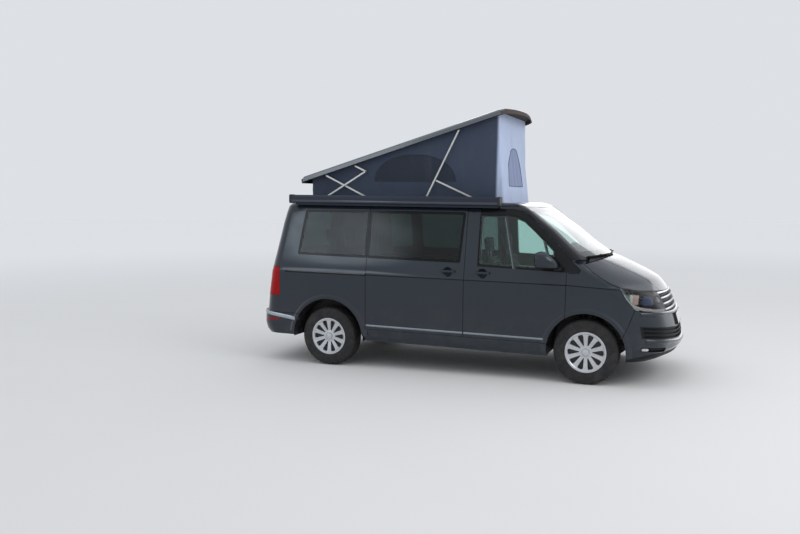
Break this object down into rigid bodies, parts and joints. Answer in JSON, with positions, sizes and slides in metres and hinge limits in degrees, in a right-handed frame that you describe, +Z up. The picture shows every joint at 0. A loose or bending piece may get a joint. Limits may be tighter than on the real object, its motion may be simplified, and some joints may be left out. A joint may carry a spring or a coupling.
{
  "type": "camper van with a pop-up roof",
  "caption": "Family camper van with a tilting pop-up roof on a canvas bellows, sliding side door, awning case, fitted cabin and steered wheels.",
  "frame": {"origin": "middle of the outline on the ground under the van, as it stands on level ground", "axes": "+X forward, +Y to the van's left, +Z up"},
  "size_m": [4.9041, 2.3, 2.9583],
  "materials": {
    "body_paint": "gloss dark grey metallic",
    "roof_paint": "gloss dark grey",
    "clear_glass": "clear",
    "privacy_glass": "dark tint",
    "lamp_lens": "clear",
    "lamp_bowl": "black",
    "red_lens": "gloss",
    "black_gloss": "gloss",
    "black_plastic": "grained",
    "awning_metal": "powder coated dark",
    "canvas": "woven",
    "bar_metal": "satin",
    "dash_plastic": "grained",
    "seat_fabric": "woven",
    "cabinet": "satin",
    "cast": "rough",
    "black_steel": "satin",
    "pipe_steel": "brushed",
    "wheel_silver": "silver gloss",
    "tyre": "matte"
  },
  "bodies": {
    "body": {"body_side_left": "body_paint", "body_side_right": "body_paint", "roof_frame": "body_paint", "underbody": "black_plastic", "wheel_housings": "black_plastic", "cowl": "black_plastic", "front_bumper": "body_paint", "grille": "black_gloss", "headlamps": "lamp_bowl", "headlamp_lenses": "lamp_lens", "tail_lamps": "red_lens", "rear_bumper": "body_paint", "windscreen": "clear_glass", "sliding_door": "body_paint", "sliding_door_glass": "privacy_glass", "side_glass": "privacy_glass", "awning_case": "awning_metal", "tent_canvas": "canvas", "dashboard": "dash_plastic", "front_seats": "seat_fabric", "rear_bench": "seat_fabric", "kitchen_unit": "cabinet", "engine_block": "cast", "front_subframe": "black_steel", "rear_axle": "black_steel", "exhaust": "pipe_steel"},
    "front_door_left": {"front_door_left": "body_paint", "front_door_glass_left": "clear_glass"},
    "front_door_right": {"front_door_right": "body_paint", "front_door_glass_right": "clear_glass"},
    "bonnet": {"bonnet": "body_paint"},
    "tailgate": {"tailgate": "body_paint", "tailgate_glass": "privacy_glass"},
    "roof": {"roof_shell": "roof_paint"},
    "steering_wheel": {"steering_wheel": "dash_plastic"},
    "knuckle_left": {"knuckle_left": "black_steel"},
    "knuckle_right": {"knuckle_right": "black_steel"},
    "lift_arms": {"lift_arms": "bar_metal"},
    "lift_links": {"lift_links": "bar_metal"},
    "scissor_arms": {"scissor_arms": "bar_metal"},
    "scissor_links": {"scissor_links": "bar_metal"},
    "cross_arms": {"cross_arms": "bar_metal"},
    "wheel_front_left": {"rim_front_left": "wheel_silver", "tyre_front_left": "tyre"},
    "wheel_front_right": {"rim_front_right": "wheel_silver", "tyre_front_right": "tyre"},
    "wheel_rear_left": {"rim_rear_left": "wheel_silver", "tyre_rear_left": "tyre"},
    "wheel_rear_right": {"rim_rear_right": "wheel_silver", "tyre_rear_right": "tyre"}
  },
  "joints": [
    {"name": "pop_up_roof", "type": "hinge", "parent": "body", "child": "roof", "pos_m": [-2.60332, 0, 2.01006], "axis": [0, 1, 0], "range_deg": [0, 16.95], "deforming": ["tent_canvas"]},
    {"name": "lift_arm_fold", "type": "hinge", "parent": "body", "child": "lift_arms", "pos_m": [-0.35285, 0, 1.90762], "axis": [0, 1, 0], "range_deg": [0, 63.39]},
    {"name": "lift_link_fold", "type": "hinge", "parent": "lift_arms", "child": "lift_links", "pos_m": [-0.2159, 0, 2.16909], "axis": [0, 1, 0], "range_deg": [-86.97, 0]},
    {"name": "scissor_arm_fold", "type": "hinge", "parent": "body", "child": "scissor_arms", "pos_m": [-1.69661, 0, 1.93296], "axis": [0, 1, 0], "range_deg": [0, 30.57]},
    {"name": "scissor_link_fold", "type": "hinge", "parent": "scissor_arms", "child": "scissor_links", "pos_m": [-1.08195, 0, 2.28043], "axis": [0, 1, 0], "range_deg": [-55.32, 0]},
    {"name": "cross_arm_fold", "type": "hinge", "parent": "body", "child": "cross_arms", "pos_m": [-0.94674, 0, 1.91882], "axis": [0, 1, 0], "range_deg": [-25.19, 0]},
    {"name": "front_door_right_swing", "type": "hinge", "parent": "body", "child": "front_door_right", "pos_m": [1.3335, -0.953, 0.87565], "axis": [0.0188, 0, 0.9998], "range_deg": [0, 68]},
    {"name": "front_door_left_swing", "type": "hinge", "parent": "body", "child": "front_door_left", "pos_m": [1.3335, 0.953, 0.87565], "axis": [-0.0188, 0, -0.9998], "range_deg": [0, 68]},
    {"name": "bonnet_lift", "type": "hinge", "parent": "body", "child": "bonnet", "pos_m": [1.50408, 0, 1.30252], "axis": [0, -1, 0], "range_deg": [0, 50]},
    {"name": "tailgate_lift", "type": "hinge", "parent": "body", "child": "tailgate", "pos_m": [-2.13757, 0, 1.88626], "axis": [0, 1, 0], "range_deg": [0, 85]},
    {"name": "steer_left", "type": "hinge", "parent": "body", "child": "knuckle_left", "pos_m": [1.544, 0.725, 0.225], "axis": [0, -0.225, 0.9744], "range_deg": [-34, 34]},
    {"name": "steer_right", "type": "hinge", "parent": "body", "child": "knuckle_right", "pos_m": [1.544, -0.725, 0.225], "axis": [0, 0.225, 0.9744], "range_deg": [-34, 34]},
    {"name": "steering_wheel_turn", "type": "hinge", "parent": "body", "child": "steering_wheel", "pos_m": [1.08576, 0.4, 1.13037], "axis": [-0.8564, 0, 0.5162], "range_deg": [-544.1, 544.1]},
    {"name": "wheel_front_left_spin", "type": "hinge", "parent": "knuckle_left", "child": "wheel_front_left", "pos_m": [1.544, 0.814, 0.343], "axis": [0, 1, 0], "continuous": true},
    {"name": "wheel_front_right_spin", "type": "hinge", "parent": "knuckle_right", "child": "wheel_front_right", "pos_m": [1.544, -0.814, 0.343], "axis": [0, 1, 0], "continuous": true},
    {"name": "wheel_rear_left_spin", "type": "hinge", "parent": "body", "child": "wheel_rear_left", "pos_m": [-1.456, 0.814, 0.343], "axis": [0, 1, 0], "continuous": true},
    {"name": "wheel_rear_right_spin", "type": "hinge", "parent": "body", "child": "wheel_rear_right", "pos_m": [-1.456, -0.814, 0.343], "axis": [0, 1, 0], "continuous": true}
  ],
  "couplings": [
    {"joint": "lift_arm_fold", "follows": "pop_up_roof", "ratio": 3.7392},
    {"joint": "lift_link_fold", "follows": "pop_up_roof", "ratio": -5.1303},
    {"joint": "scissor_arm_fold", "follows": "pop_up_roof", "ratio": 1.803},
    {"joint": "scissor_link_fold", "follows": "pop_up_roof", "ratio": -3.2632},
    {"joint": "cross_arm_fold", "follows": "pop_up_roof", "ratio": -1.4853},
    {"joint": "steer_right", "follows": "steer_left", "ratio": 1},
    {"joint": "steering_wheel_turn", "follows": "steer_left", "ratio": 16}
  ]
}
